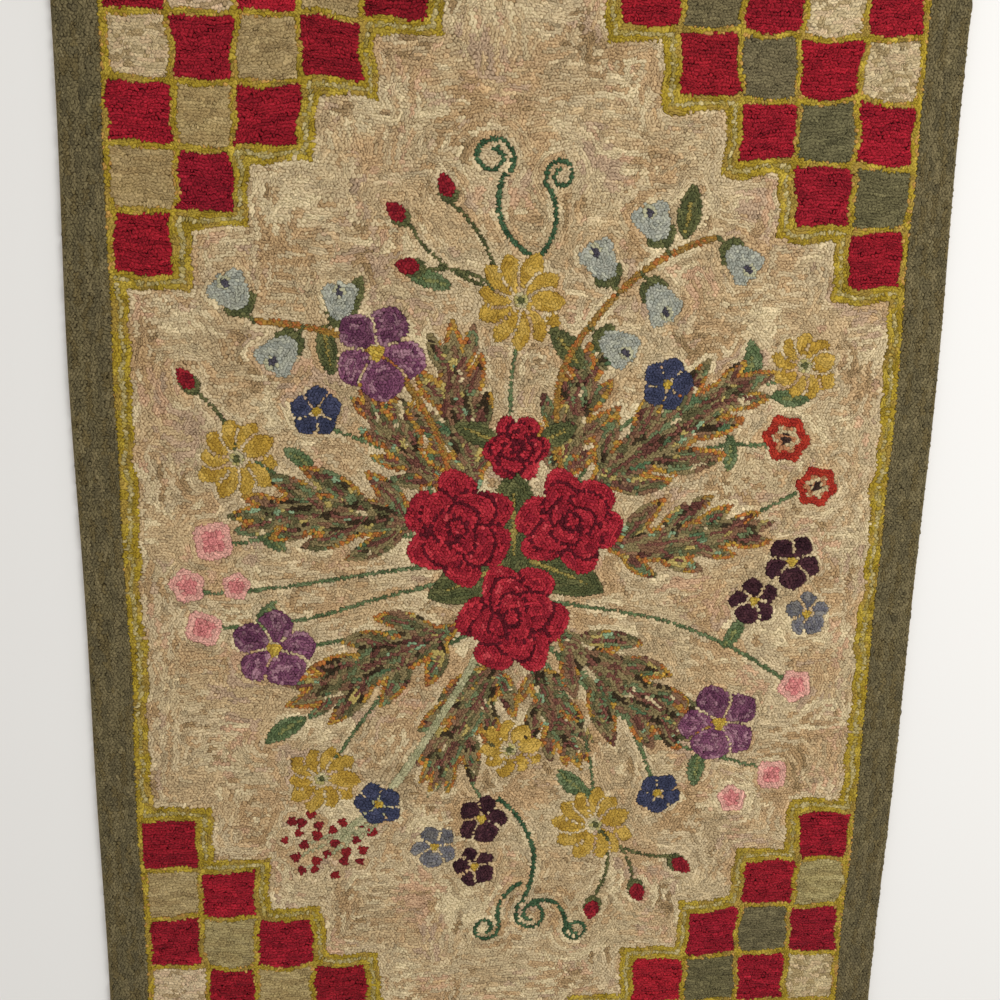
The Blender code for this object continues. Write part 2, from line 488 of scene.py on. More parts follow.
def pile_piece(name, number, material, shade=0.09, parted=1.0):
    """The folds of one area as a mesh: each is a fan of six triangles from its crown down to the six
    hollows round it, which it shares with its neighbours. Where two folds of a row are joined, the side
    between them is turned into a ridge from crown to crown, and the folds of such a worm stand and are
    dyed alike. Hollows between rows may be parted deeper. A crown that its hollows have come past is
    set back into their middle."""
    mine = np.flatnonzero(piece_of == number)
    ring = six_hollows(mine)
    ring_x, ring_y = hollow_x[ring] - crown_x[mine, None], hollow_y[ring] - crown_y[mine, None]
    passed = (ring_x * np.roll(ring_y, -1, 1) < ring_y * np.roll(ring_x, -1, 1)).any(1)
    crown_x[mine[passed]] = hollow_x[ring[passed]].mean(1)
    crown_y[mine[passed]] = hollow_y[ring[passed]].mean(1)
    others = six_neighbours(mine)
    same = piece_of[others] == number
    slope = np.where(same, level_of[others] - level_of[mine][:, None], 0)
    turn = np.arctan2((slope * np.sin(SIDE_WAYS)).sum(1), (slope * np.cos(SIDE_WAYS)).sum(1)) + np.pi / 2
    turn_of[mine] = np.round(turn / TURN_STEP) * TURN_STEP
    turn = turn_of[mine][:, None]
    in_line = np.cos(SIDE_WAYS - turn) ** 2 * np.cos(SIDE_WAYS - turn_of[others]) ** 2
    chance = joint_chance[np.minimum(mine[:, None], others), SIDE_KINDS]
    joined = same & (chance < JOINED_SHARE * in_line ** 0.6) & (row_of[others] == row_of[mine][:, None])
    joined &= np.abs(dye[others] - dye[mine][:, None]).max(-1) < SAME_DYE
    joined |= same & (on_rim[ring] != np.roll(on_rim[ring], -1, 1))
    for _ in range(3):
        worm_of[mine] = np.where(joined, worm_of[others], worm_of[mine][:, None]).min(1)
    worm = worm_of[mine]

    rows = row_of[trio]
    worms = worm_of[trio]
    within = (piece_of[trio] == number).all(1)
    between = (rows[:, 0] != rows[:, 1]) | (rows[:, 1] != rows[:, 2])
    one_worm = (worms[:, 0] == worms[:, 1]) | (worms[:, 1] == worms[:, 2]) | (worms[:, 0] == worms[:, 2])
    dip = HOLLOW * hollow_dip * np.where(within & one_worm, 0.7, 1.0)
    dip += PARTED * hollow_part * np.where(within, between * parted, 0.7)
    low = np.where(on_rim, PILE_FOOT, np.maximum(pile_top(hollow_x, hollow_y) - dip, PILE_FOOT))
    high = pile_top(crown_x[mine], crown_y[mine]) + LOOP_UNEVEN * uneven[worm] + FOLD_UNEVEN * uneven[mine]

    used, own = np.unique(ring, return_inverse=True)
    own = own.reshape(-1, 6)
    index_of = np.zeros(len(crown_x), int)
    index_of[mine] = np.arange(len(mine)) + len(used)
    crown = np.broadcast_to(index_of[mine][:, None], own.shape)
    third = np.where(joined, index_of[others], np.roll(own, -1, 1))
    faces = np.stack([crown, own, third], -1).reshape(-1, 3)
    x = np.concatenate([hollow_x[used], crown_x[mine]])
    y = np.concatenate([hollow_y[used], crown_y[mine]])
    points = np.stack([*lay_flat(x, y), np.concatenate([low[used], high])], 1)
    piece = new_piece(name, points, faces, material)

    tone = 1 + shade * (uneven[worm + 1] + 0.4 * uneven[mine - 1])
    colour = np.ones((len(mine), 18, 4))
    colour[:, :, :3] = np.clip(dye[mine] * tone[:, None], 0.002, 0.9)[:, None]
    keep(piece, "dye", "FLOAT_COLOR", "CORNER", colour)
    corner_x, corner_y = points[faces, :2].reshape(len(mine), 18, 2).transpose(2, 0, 1)
    along = corner_x * np.cos(turn) + corner_y * np.sin(turn)
    across = corner_y * np.cos(turn) - corner_x * np.sin(turn)
    keep(piece, "along_row", "FLOAT_VECTOR", "CORNER", np.stack([along, across, 0 * along], -1))
    # These carry painted shade to the material: depth falls in deeper hollows, crest is 1 on crowns and 0 in
    # hollows, and the colour is darkened by both; crest also gives the bump.
    keep(piece, "depth", "FLOAT", "POINT", np.concatenate([1 - dip[used] / FULL_DIP, np.ones(len(mine))]))
    keep(piece, "crest", "FLOAT", "POINT", np.arange(len(points)) >= len(used))
    flat_uv(piece.data, points, faces)


crown_x, crown_y = crown_places()
trio = hollow_trios()
bare = rim_inset(crown_x, crown_y) > BARE_RIM
on_rim = ~bare[trio].all(1)
hollow_x, hollow_y = within_rim(crown_x[trio].mean(1), crown_y[trio].mean(1), RIM_INSET, on_rim)
hollow_tooth = np.clip(rng.normal(0, 0.0005, len(trio)), -0.0012, 0.0012)
pinned = np.zeros(len(trio), bool)
edge_inset = np.full(len(crown_x), -1.0)
uneven = rng.normal(0, 1, len(crown_x))
joint_chance = rng.uniform(size=(len(crown_x), 3))
hollow_dip = rng.uniform(0.2, 1.6, len(trio))
parting_wave = np.clip(0.5 + 0.7 * drift(hollow_x, hollow_y, 0.020, 9), 0, 1)
hollow_part = parting_wave * rng.uniform(0.4, 1, len(trio))
dye = np.zeros((len(crown_x), 3))
level_of = np.zeros(len(crown_x))
turn_of = np.zeros(len(crown_x))
worm_of = np.arange(len(crown_x))
row_of = np.full(len(crown_x), -1)
piece_of = np.full(len(crown_x), -1)
gap = np.full(len(crown_x), 1.0)
everywhere = np.arange(len(crown_x))

piece_number = 0
border_inset = rim_inset(crown_x, crown_y)
border_row = np.floor(border_inset / ROW).astype(int)
border_rags = rags(crown_x, crown_y, border_row, BORDER_GREENS, run=0.07, seed=11)
hook(everywhere, BORDER - BESIDE_GOLD - border_inset, border_rags, border_row)
pile_piece("border_pile", piece_number, rag_material("grey_green_rag"))

# The gold lines: a single row of mustard rag between the blocks and beside the border. Along the
# field's stepped outline there are three rows, gold, khaki and a wider gold. The rows wobble.
LINE_HALF = 0.0033
OUTLINE_ROWS = (
    # from, to: distance in from the stepped outline
    (-0.0038, 0.0030),
    (0.0030, 0.0076),
    (0.0076, 0.0140),
)
GOLDS = ((163, 139, 45), (151, 127, 39), (172, 148, 56), (157, 131, 60))
KHAKIS = ((172, 156, 104), (162, 145, 86), (184, 168, 118), (156, 137, 68))
GOLD_TIP = (184, 142, 74)


def field_inset(x, y):
    """Distance in from the field's stepped outline. The field is a stack of rectangles, each a block
    narrower on each side and a block longer at each end than the one before."""
    step = np.arange(CHECK_ROWS + 1)[:, None] * BLOCK
    return np.minimum(INNER_W - step - np.abs(x), FIELD_L + step - np.abs(y)).max(0)


def from_line(across):
    """Signed distance from the nearest line of a grid of blocks."""
    return across - np.round(across / BLOCK) * BLOCK


piece_number = 1
line_x = crown_x + 0.0015 * drift(crown_x, crown_y, 0.060, 5)
line_y = crown_y + 0.0015 * drift(crown_x, crown_y, 0.060, 6)
in_field = field_inset(line_x, line_y)
teeth = 0.0005 * drift(crown_x, crown_y, 0.010, 7)
upright_line = from_line(INNER_W - np.abs(line_x))
level_line = from_line(np.abs(line_y) - FIELD_L)
nearest_line = np.where(np.abs(upright_line) < np.abs(level_line), upright_line, level_line)
grid_line = np.where(np.abs(line_y) < FIELD_L + 0.002, 1.0, np.abs(nearest_line))
golds = rags(crown_x, crown_y, 0, GOLDS, run=0.03, seed=21, mixed=0.3)
khakis = rags(crown_x, crown_y, 0, KHAKIS, run=0.010, seed=26, mixed=0.3)
for number, (start, end) in enumerate(OUTLINE_ROWS):
    inside = np.minimum(in_field - start + teeth, end - in_field - teeth)
    hook(everywhere, inside, khakis if number == 1 else golds, number, in_field)
past_blocks = np.maximum(np.abs(line_x) - INNER_W, np.abs(line_y) - INNER_L)
outside_line = np.minimum(np.maximum(LINE_HALF - grid_line + teeth, past_blocks), -in_field)
tips = (grid_line > 0.0022) & (rng.uniform(size=len(crown_x)) < 0.5)
hook(everywhere, outside_line, np.where(tips[:, None], dyed(GOLD_TIP), golds), 5, nearest_line)
pile_piece("gold_line_pile", piece_number, rag_material("gold_rag"), 0.11)

# The checker blocks: rows of rag from line to line, each block of one dye lot. Those on the stepped
# outline are red, and from there red takes turns with khaki or cream on the left, green or cream right.
REDS = ((150, 29, 41), (142, 27, 39), (156, 31, 44), (137, 26, 38))
BLOCK_KHAKIS = ((162, 143, 98), (153, 133, 90), (170, 151, 106))
BLOCK_GREENS = ((105, 97, 69), (98, 91, 64), (112, 104, 74))
BLOCK_CREAMS = ((202, 181, 142), (188, 167, 128), (164, 142, 104), (196, 170, 134))

column = np.floor((INNER_W - np.abs(line_x)) / BLOCK).astype(int) + 1
row = np.floor((np.abs(line_y) - FIELD_L) / BLOCK).astype(int) + 1
left = crown_x < 0
near_right = ~left & (crown_y < 0)
red = (row - column) % 2 == 0
cream = (row - column > 1) | ((row >= 4) & (column == 1))
khaki = left | (near_right & (row == 2) & (column == 1))
block_x = np.clip(column, 0, CHECK_ROWS) + np.where(left, 0, 7)
block_y = np.clip(row, 0, CHECK_ROWS) + np.where(crown_y < 0, 0, 7)
dye_lot = 1 + rng.normal(0, 0.03, (14, 14, 3)) + rng.normal(0, 0.06, (14, 14, 1))
dye_lot = dye_lot[block_x, block_y]
block_row = np.floor((crown_y + 0.0009 * drift(crown_x, crown_y, 0.03, 12)) / ROW).astype(int) + 500

piece_number = 2
red_rags = rags(crown_x, crown_y, block_row, REDS, run=0.05, seed=31, mixed=0.7) * dye_lot
hook(everywhere, np.where(red & (in_field < 0), 1.0, -1.0), red_rags, block_row, crown_y)
pile_piece("red_block_pile", piece_number, rag_material("red_rag", 0.62, 0.24, 0.22), 0.10, 1.35)

piece_number = 3
pale_rags = np.where(
    cream[:, None],
    rags(crown_x, crown_y, block_row, BLOCK_CREAMS, run=0.03, seed=36, mixed=0.1),
    np.where(
        khaki[:, None],
        rags(crown_x, crown_y, block_row, BLOCK_KHAKIS, run=0.05, seed=41, mixed=0.7),
        rags(crown_x, crown_y, block_row, BLOCK_GREENS, run=0.05, seed=46, mixed=0.5),
    ),
)
hook(everywhere, -in_field, pale_rags * dye_lot, block_row, crown_y)
pile_piece("pale_block_pile", piece_number, rag_material("khaki_rag", 0.50, 0.20), 0.09)
gap = np.where(in_field > OUTLINE_ROWS[-1][1], in_field - OUTLINE_ROWS[-1][1], 0)

# The roses: three big blooms of scarlet rag and a small one. A heart is hooked first, then petals round
# it, each with a dark maroon row where it goes under the petals before it. Between them show leaves.
ROSES = (
    # x, y, radius, turn
    (-0.060, 0.040, 0.062, 0.4),
    (0.064, 0.046, 0.059, 1.7),
    (0.004, -0.068, 0.065, 2.9),
    (0.002, 0.130, 0.036, 0.9),
)
ROSE_PETALS = (
    # count, distance out, size: shares of the radius
    (1, 0.00, 0.16),
    (3, 0.20, 0.25),
    (4, 0.42, 0.35),
    (6, 0.66, 0.38),
)
ROSE_LEAVES = (
    # x, y, heading, length
    (0.004, 0.004, 1.62, 0.104),
    (-0.020, 0.136, 2.70, 0.050),
    (0.024, 0.134, 0.40, 0.052),
    (0.010, 0.004, -0.36, 0.104),
    (0.000, 0.004, -2.72, 0.104),
)
SCARLETS = ((164, 42, 54), (150, 36, 48), (178, 50, 60), (134, 31, 44), (196, 72, 78))
MAROON = (92, 24, 34)
ROSE_ROW = 0.0050
PETAL_ROW = 0.0045
VEIN = 0.0044
SEPALS_BETWEEN = (0.004, 0.006)
SEPAL_GREENS = ((90, 92, 56), (80, 84, 52), (102, 102, 64))
LEAF_VEIN = (150, 134, 72)


def wavy_disc(x, y, place, radius, waves=5, depth=0.06, turn=0.0):
    """How far inside a disc with a waved edge each place is, negative outside."""
    away_x, away_y = x - place[0], y - place[1]
    edge = radius * (1 + depth * np.sin(waves * np.arctan2(away_y, away_x) + turn))
    return edge - np.hypot(away_x, away_y)


def petal(x, y, base, heading, length, width, full=1.0, bend=0.0):
    """How far inside a petal or leaf each place is, negative outside. Its spine is an arc from the base
    that turns by `bend`. Its half width swells along it as a sine, nearer the tip when `full` is over 1."""
    cos, sin = math.cos(heading), math.sin(heading)
    along = (x - base[0]) * cos + (y - base[1]) * sin
    across = (y - base[1]) * cos - (x - base[0]) * sin
    if bend:
        radius = length / abs(bend)
        side = math.copysign(1, bend)
        along, across = (
            radius * np.arctan2(along, radius - side * across),
            side * (radius - np.hypot(along, radius - side * across)),
        )
    share = np.clip(along / length, 0, 1)
    half = width / 2 * np.sin(np.pi * share ** full) ** 0.75
    beyond = np.maximum(along - length, -along)
    return np.where(beyond > 0, -np.hypot(beyond, across), (half - np.abs(across)) * 0.9)


def hook_leaves(leaves, breadth, bend, colours, vein, seed):
    """Hook plain leaves, each a share of its length in breadth: a vein along the spine, and rows of rag
    beside it."""
    for number, (base_x, base_y, heading, length) in enumerate(leaves, start=seed):
        near, x, y = around(base_x, base_y, length)
        spine = petal(x, y, (base_x, base_y), heading, length * 0.82, VEIN, 1.0, bend)
        hook(near, spine, dyed(vein), 9)
        inside = petal(x, y, (base_x, base_y), heading, length, breadth * length, 0.9, bend)
        leaf_row = np.floor(inside / PETAL_ROW).astype(int)
        hook(near, inside, rags(x, y, leaf_row, colours, run=0.03, seed=number), leaf_row + 10)


piece_number = 4
for rose_x, rose_y, radius, turn in ROSES:
    near, x, y = around(rose_x, rose_y, radius)
    before = np.full(len(near), -1.0)
    petal_number = 0
    for count, out, size in ROSE_PETALS:
        for k in range(count):
            heading = turn + 0.9 * count + 2 * math.pi * k / count + rng.uniform(-0.12, 0.12)
            middle = (rose_x + out * radius * math.cos(heading), rose_y + out * radius * math.sin(heading))
            inside = wavy_disc(x, y, middle, size * radius, 3, 0.08, heading)
            petal_row = np.floor(inside / ROSE_ROW).astype(int) + 20 * petal_number
            petal_rags = rags(x, y, petal_row, SCARLETS, (0.4, 0.4, 0.2, 0.0, -1.0), 0.03, 51, 0.3)
            dark = (before > -0.0032) | (inside < 0.0026) & (petal_number == 0)
            hook(near, inside, np.where(dark[:, None], dyed(MAROON), petal_rags), petal_row)
            before = np.maximum(before, inside)
            petal_number += 1
hook_leaves(ROSE_LEAVES, 0.5, 0.0, SEPAL_GREENS, LEAF_VEIN, 57)
near, x, y = around(*SEPALS_BETWEEN, 0.03)
hook(near, wavy_disc(x, y, SEPALS_BETWEEN, 0.034), rags(x, y, 0, SEPAL_GREENS, run=0.02, seed=60), 5)
pile_piece("rose_pile", piece_number, rag_material("scarlet_wool", 0.60, 0.28))

# The pansies: purple, aubergine and blue-grey blooms of five broad petals, hooked one after the other
# round a yellow throat. A row of ground is left between one petal and the next.
PANSIES = (
    # x, y, petal length, turn, the dyes
    (-0.148, 0.232, 0.052, 0.2, "purple"),
    (0.250, -0.196, 0.050, -0.3, "purple"),
    (-0.268, -0.100, 0.047, 0.5, "purple"),
    (0.322, 0.000, 0.033, 0.1, "aubergine"),
    (0.282, -0.048, 0.029, -0.4, "aubergine"),
    (0.346, -0.060, 0.027, 0.7, "blue"),
    (-0.026, -0.316, 0.032, 0.3, "aubergine"),
    (-0.084, -0.348, 0.029, -0.2, "blue"),
    (-0.036, -0.376, 0.026, 0.9, "aubergine"),
)
PANSY_DYES = {
    "purple": ((132, 86, 106), (120, 72, 97), (106, 60, 86), (158, 118, 130)),
    "aubergine": ((66, 38, 44), (58, 32, 40), (78, 46, 52)),
    "blue": ((118, 116, 118), (108, 106, 112), (128, 124, 120)),
}
PANSY_HEADINGS = (-1.57, -2.75, -0.40, 2.16, 0.98)
THROAT = ((188, 160, 70), (176, 144, 58))


piece_number = 5
for number, (pansy_x, pansy_y, length, turn, dyes) in enumerate(PANSIES):
    near, x, y = around(pansy_x, pansy_y, length)
    throat = wavy_disc(x, y, (pansy_x, pansy_y), 0.13 * length + 0.0016, 3, 0.2)
    hook(near, throat, rags(x, y, 0, THROAT, run=0.01, seed=61))
    before = throat - 0.002
    for k, way in enumerate(PANSY_HEADINGS):
        heading = turn + way
        width = length * (0.98 if k == 0 else 0.80)
        inside = petal(x, y, (pansy_x, pansy_y), heading, length, width, 1.45)
        inside = np.minimum(inside, -before - 0.0034)
        petal_row = np.floor(inside / PETAL_ROW).astype(int) + 20 * k
        petal_rags = rags(x, y, petal_row, PANSY_DYES[dyes], run=0.03, seed=63 + number, mixed=0.3)
        hook(near, inside, petal_rags * (0.80 if k > 2 else 1.0), petal_row)
        before = np.maximum(before, inside)
pile_piece("pansy_pile", piece_number, rag_material("purple_wool"))

# The daisies: many narrow petals of golden yellow rag round a lime and cream button with a green eye,
# each a little apart from the last.
DAISIES = (
    # x, y, petal length, petals, turn
    (0.004, 0.290, 0.052, 11, 0.1),
    (-0.300, 0.116, 0.046, 10, 0.5),
    (0.106, -0.322, 0.050, 11, 0.3),
    (0.318, 0.226, 0.040, 9, 0.2),
    (-0.212, -0.262, 0.044, 10, 0.0),
    (0.006, -0.226, 0.038, 9, 0.3),
)
DAISY_YELLOWS = ((178, 144, 62), (166, 132, 52), (190, 156, 76))
DAISY_BUTTON = ((176, 164, 104), (184, 172, 130))

piece_number = 6
for number, (daisy_x, daisy_y, length, petals, turn) in enumerate(DAISIES):
    near, x, y = around(daisy_x, daisy_y, length)
    button = wavy_disc(x, y, (daisy_x, daisy_y), 0.0082)
    hook(near, button - 0.0040, dyed(SEPAL_GREENS[0]))
    hook(near, button, rags(x, y, 0, DAISY_BUTTON, run=0.01, seed=71), 1)
    before = button
    for k in range(petals):
        heading = turn + 2 * math.pi * k / petals + rng.uniform(-0.06, 0.06)
        reach = length * rng.uniform(0.86, 1.06)
        inside = petal(x, y, (daisy_x, daisy_y), heading, reach, 5.0 * length / petals, 1.5)
        inside = np.minimum(inside, -before - 0.0030)
        hook(near, inside, rags(x, y, k, DAISY_YELLOWS, run=0.03, seed=73, mixed=0.3), k + 2)
        before = np.maximum(before, inside)
pile_piece("daisy_pile", piece_number, rag_material("yellow_wool"))

# The bells: pale blue-grey flowers with a scalloped mouth and a dark tongue, hanging by short stalks
# from two bowed sprays of gold and rust rag, with dark green cups and leaves.
SPRAYS = (
    # from, to, bow
    ((0.064, 0.060), (0.214, 0.362), 0.24),
    ((-0.066, 0.060), (-0.280, 0.262), -0.24),
)
BELLS = (
    # spray, share along it, heading
    (0, 0.56, -0.60),
    (0, 0.68, 2.05),
    (0, 0.78, -0.95),
    (0, 0.89, 2.00),
    (0, 1.00, -0.70),
    (1, 0.72, 1.60),
    (1, 0.86, -2.25),
    (1, 1.00, 2.20),
)
BELL_LEAVES = (
    # x, y, heading, length
    (0.074, 0.218, 2.1, 0.060),
    (0.176, 0.356, 1.3, 0.062),
    (-0.190, 0.262, 1.0, 0.060),
    (-0.206, 0.262, -1.6, 0.058),
)
BELL_BLUES = ((160, 160, 146), (152, 154, 142), (170, 170, 152))
BELL_STALK = 0.012
BELL_LENGTH = 0.050
BELL_WIDTH = 0.034
BELL_MOUTH = 0.030
SCALLOP_AT = 0.037
SCALLOP_RADIUS = 0.0092
TONGUE = (74, 70, 78)
MOUTH_CREAM = (178, 174, 142)
SPRAY_GOLDS = ((158, 120, 54), (144, 108, 50), (166, 104, 54), (142, 114, 62))


def bowed(start, end, bow, steps=24):
    """A bowed line: the straight way plus a sideways parabola, `bow` times its length at the middle."""
    share = np.linspace(0, 1, steps)[:, None]
    way = np.subtract(end, start)
    return np.array(start) + way * share + np.array([-way[1], way[0]]) * bow * 4 * share * (1 - share)


def curl(middle, radius, turns, heading, steps=60):
    """A curl: a spiral that winds in from its outer radius to a third of it."""
    share = np.linspace(0, 1, steps)
    angle = heading + 2 * np.pi * turns * share
    reach = radius * (1 - 0.66 * share)
    return np.stack([middle[0] + reach * np.cos(angle), middle[1] + reach * np.sin(angle)], 1)


def hook_line(line, half, colours, seed, run=0.02):
    """Hook one row of rag along a drawn line: the places up to half its width from the nearest straight
    piece. Its row number comes from its seed, so that lines that cross stay apart."""
    near, x, y = around(*(line.min(0) + line.max(0)) / 2, np.ptp(line, 0).max() / 2)
    least = np.full(len(x), 1.0)
    side = np.zeros(len(x))
    for (x0, y0), (x1, y1) in zip(line[:-1], line[1:]):
        long = max((x1 - x0) ** 2 + (y1 - y0) ** 2, 1e-12)
        share = np.clip(((x - x0) * (x1 - x0) + (y - y0) * (y1 - y0)) / long, 0, 1)
        away = np.hypot(x - x0 - share * (x1 - x0), y - y0 - share * (y1 - y0))
        left_of = np.sign((x1 - x0) * (y - y0) - (y1 - y0) * (x - x0))
        side = np.where(away < least, away * left_of, side)
        least = np.minimum(least, away)
    hook(near, half - least, rags(x, y, 0, colours, run=run, seed=seed), 900 + seed % 90, side)


def hook_bowed(lines, half, colours, seed, run=0.02):
    """Hook a row of rag along each bowed line, given by its two ends and its bow."""
    for number, (start, end, bow) in enumerate(lines, start=seed):
        hook_line(bowed(start, end, bow), half, colours, number, run)


piece_number = 7
for number, (spray, share, heading) in enumerate(BELLS):
    line = bowed(*SPRAYS[spray])
    hang_x, hang_y = line[round(share * (len(line) - 1))]
    cos, sin = math.cos(heading), math.sin(heading)
    bell_x, bell_y = hang_x + BELL_STALK * cos, hang_y + BELL_STALK * sin
    near, x, y = around(bell_x, bell_y, 2 * BELL_MOUTH)
    mouth = (bell_x + BELL_MOUTH * cos, bell_y + BELL_MOUTH * sin)
    hook(near, petal(x, y, mouth, heading, 0.014, 0.0074), dyed(TONGUE))
    hook(near, petal(x, y, mouth, heading, 0.018, 0.0150, 0.9), dyed(MOUTH_CREAM), 1)
    body = petal(x, y, (bell_x, bell_y), heading, BELL_LENGTH, BELL_WIDTH, 1.15)
    for side in (-1, 0, 1):
        scallop_x = bell_x + SCALLOP_AT * cos - 0.0115 * side * sin
        scallop_y = bell_y + SCALLOP_AT * sin + 0.0115 * side * cos
        body = np.maximum(body, wavy_disc(x, y, (scallop_x, scallop_y), SCALLOP_RADIUS))
    cup = (bell_x + 0.004 * cos, bell_y + 0.004 * sin)
    covered = (x - cup[0]) * cos + (y - cup[1]) * sin
    body_row = np.floor(body / PETAL_ROW).astype(int) + 10
    body_rags = rags(x, y, body_row, BELL_BLUES, run=0.02, seed=81 + number, mixed=0.3)
    hook(near, np.minimum(body, covered - 0.002), body_rags, body_row)
    cup_disc = wavy_disc(x, y, (bell_x + 0.013 * cos, bell_y + 0.013 * sin), 0.0165)
    cup_inset = np.minimum(cup_disc, 0.012 - covered)
    hook(near, cup_inset, rags(x, y, 0, SEPAL_GREENS, run=0.02, seed=91), 60)
    hook_line(bowed((hang_x, hang_y), cup, 0.0), 0.0022, SEPAL_GREENS, 101)
hook_bowed(SPRAYS, 0.0036, SPRAY_GOLDS, 95, 0.007)
hook_leaves(BELL_LEAVES, 0.42, 0.3, SEPAL_GREENS, LEAF_VEIN, 103)
pile_piece("bell_pile", piece_number, rag_material("pale_blue_wool"))

# The small blooms: navy flowers of five petals with ground between them, pink ones, and red rings with
# a dark eye.
SMALL_BLOOMS = (
    # x, y, radius, waves, kind
    (0.166, 0.206, 0.030, 5, "navy"),
    (-0.216, 0.168, 0.028, 5, "navy"),
    (-0.150, -0.292, 0.027, 5, "navy"),
    (0.186, -0.286, 0.026, 5, "navy"),
    (-0.330, 0.024, 0.022, 4, "pink"),
    (-0.358, -0.028, 0.019, 5, "pink"),
    (-0.342, -0.076, 0.020, 4, "pink"),
    (-0.304, -0.026, 0.015, 5, "pink"),
    (0.306, 0.144, 0.025, 6, "ring"),
    (0.344, 0.090, 0.023, 6, "ring"),
    (0.336, -0.148, 0.020, 5, "pink"),
    (0.320, -0.262, 0.019, 4, "pink"),
    (0.270, -0.294, 0.017, 5, "pink"),
)
BLOOM_DYES = {
    # edge rows, inner rows, eye
    "navy": (((66, 69, 92), (56, 60, 82)), ((178, 148, 60), (168, 138, 52)), (178, 148, 60)),
    "pink": (((214, 156, 142), (218, 164, 148)), ((212, 138, 131), (203, 124, 121)), (204, 126, 123)),
    "ring": (((166, 54, 38), (152, 44, 34)), ((190, 168, 128), (172, 120, 84)), (60, 42, 36)),
}

piece_number = 8
for number, (bloom_x, bloom_y, radius, waves, kind) in enumerate(SMALL_BLOOMS):
    edge, inner, eye = BLOOM_DYES[kind]
    near, x, y = around(bloom_x, bloom_y, radius)
    if kind == "navy":
        before = wavy_disc(x, y, (bloom_x, bloom_y), 0.0052)
        hook(near, before, rags(x, y, 0, inner, run=0.01, seed=111 + number), 1)
        before = before - 0.001
        for k in range(waves):
            heading = 0.3 * number + 2 * math.pi * k / waves
            inside = petal(x, y, (bloom_x, bloom_y), heading, radius, 0.92 * radius, 1.5)
            inside = np.minimum(inside, -before - 0.0020)
            hook(near, inside, rags(x, y, k, edge, run=0.02, seed=121 + number, mixed=0.3), 2 + k)
            before = np.maximum(before, inside)
    else:
        inside = wavy_disc(x, y, (bloom_x, bloom_y), radius, waves, 0.10, number)
        hook(near, inside - radius + 0.0052, dyed(eye))
        hook(near, inside - 0.42 * radius, rags(x, y, 0, inner, run=0.01, seed=111 + number), 1)
        hook(near, inside, rags(x, y, 0, edge, run=0.02, seed=121 + number, mixed=0.3), 2)
pile_piece("small_bloom_pile", piece_number, rag_material("bright_wool"))

# The buds and berries: scarlet buds in green sepals on thin stems, and a spray of small red berries
# round a pale green stalk.
BUDS = (
    # x, y, heading, the root of its stem
    (-0.070, 0.396, 1.9, (-0.020, 0.300)),
    (-0.122, 0.372, 2.4, (-0.020, 0.300)),
    (-0.106, 0.320, 2.9, (-0.020, 0.300)),
    (0.158, -0.402, -1.2, (0.112, -0.330)),
    (0.206, -0.372, -0.6, (0.112, -0.330)),
    (0.112, -0.424, -1.7, (0.112, -0.330)),
    (-0.342, 0.192, 2.2, (-0.300, 0.120)),
)
BUD_REDS = ((132, 30, 40), (120, 26, 36), (146, 36, 44))
BERRY_STALK = ((-0.030, -0.080), (-0.196, -0.338))
BERRY_REDS = ((120, 32, 36), (136, 36, 38))
PALE_GREENS = ((168, 162, 124), (158, 156, 118), (176, 170, 132))
BERRIES = 24

piece_number = 9
for number, (bud_x, bud_y, heading, stem_root) in enumerate(BUDS):
    near, x, y = around(bud_x, bud_y, 0.03)
    bud = petal(x, y, (bud_x, bud_y), heading, 0.027, 0.018, 0.8)
    hook(near, bud, rags(x, y, 0, BUD_REDS, run=0.01, seed=151))
    root = (bud_x - 0.008 * math.cos(heading), bud_y - 0.008 * math.sin(heading))
    for side in (-0.5, 0.5):
        sepal = petal(x, y, root, heading + side, 0.027, 0.011, 0.9, -side)
        hook(near, sepal, rags(x, y, 0, SEPAL_GREENS, run=0.01, seed=153), 1)
    hook_line(bowed(stem_root, root, 0.12 if number % 2 else -0.1), 0.0021, SEPAL_GREENS, 157 + number)
berry_turn = 2.4 * np.arange(BERRIES) + rng.uniform(-0.3, 0.3, BERRIES)
berry_reach = 0.053 * np.sqrt((np.arange(BERRIES) + 0.8) / BERRIES)
for number in range(BERRIES):
    berry_x = BERRY_STALK[1][0] - 0.014 + 1.1 * berry_reach[number] * math.cos(berry_turn[number])
    berry_y = BERRY_STALK[1][1] - 0.006 + 0.8 * berry_reach[number] * math.sin(berry_turn[number])
    near, x, y = around(berry_x, berry_y, 0)
    berry = wavy_disc(x, y, (berry_x, berry_y), rng.uniform(0.0048, 0.0062), 3, 0.15, number)
    hook(near, berry, dyed(BERRY_REDS[number % 2]), number)
    if number % 4 == 0:
        twig = bowed(bowed(*BERRY_STALK, 0.06)[-8], (berry_x, berry_y), 0.1)
        hook_line(twig, 0.0019, PALE_GREENS, 171)
hook_line(bowed(*BERRY_STALK, 0.06), 0.0046, PALE_GREENS, 173)
pile_piece("bud_and_berry_pile", piece_number, rag_material("bud_wool"))

